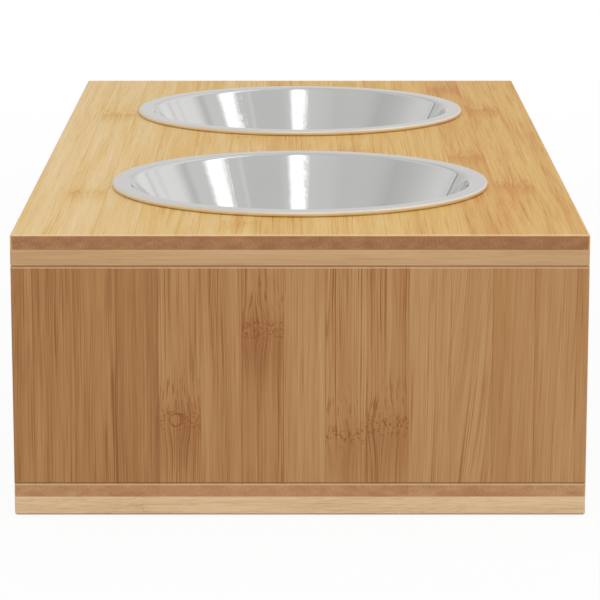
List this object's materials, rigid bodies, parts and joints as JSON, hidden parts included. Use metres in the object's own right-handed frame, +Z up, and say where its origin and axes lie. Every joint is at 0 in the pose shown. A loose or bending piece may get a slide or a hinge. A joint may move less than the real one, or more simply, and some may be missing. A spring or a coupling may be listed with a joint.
{
  "type": "elevated dog bowl",
  "caption": "Low bamboo stand with round steel bowls that hang by their rims in holes in its top panel and lift out.",
  "frame": {"origin": "on the floor under the middle of the stand, the bottom centre of the whole object", "axes": "+Z up, Y along the stand's length with the pictured near end at -Y, X across its width"},
  "size_m": [0.3, 0.6, 0.1545],
  "materials": {
    "bamboo_top_face": "satin clear lacquer, grain along the length",
    "bamboo_lengthwise": "satin clear lacquer, grain along the length",
    "bamboo_crosswise": "satin clear lacquer, grain across the width",
    "bamboo_upright": "satin clear lacquer, upright grain",
    "bowl_steel": "mirror polished stainless steel",
    "dowel_wood": "plain beech",
    "screw_steel": "zinc plated",
    "pad_rubber": "matt"
  },
  "bodies": {
    "stand": {"top_upper_ply": "bamboo_top_face", "top_lower_ply": "bamboo_crosswise", "base_upper_ply": "bamboo_lengthwise", "base_lower_ply": "bamboo_crosswise", "near_end_outer_ply": "bamboo_upright", "near_end_inner_ply": "bamboo_crosswise", "far_end_outer_ply": "bamboo_upright", "far_end_inner_ply": "bamboo_crosswise", "near_dowels": "dowel_wood", "far_dowels": "dowel_wood", "near_screws": "screw_steel", "far_screws": "screw_steel", "near_left_foot_pad": "pad_rubber", "near_right_foot_pad": "pad_rubber", "far_left_foot_pad": "pad_rubber", "far_right_foot_pad": "pad_rubber"},
    "near_bowl": {"near_bowl": "bowl_steel"},
    "far_bowl": {"far_bowl": "bowl_steel"}
  },
  "joints": [
    {"name": "near_bowl_lift", "type": "slide", "parent": "stand", "child": "near_bowl", "axis": [0, 0, 1], "range_m": [0, 0.08]},
    {"name": "far_bowl_lift", "type": "slide", "parent": "stand", "child": "far_bowl", "axis": [0, 0, 1], "range_m": [0, 0.08]}
  ]
}
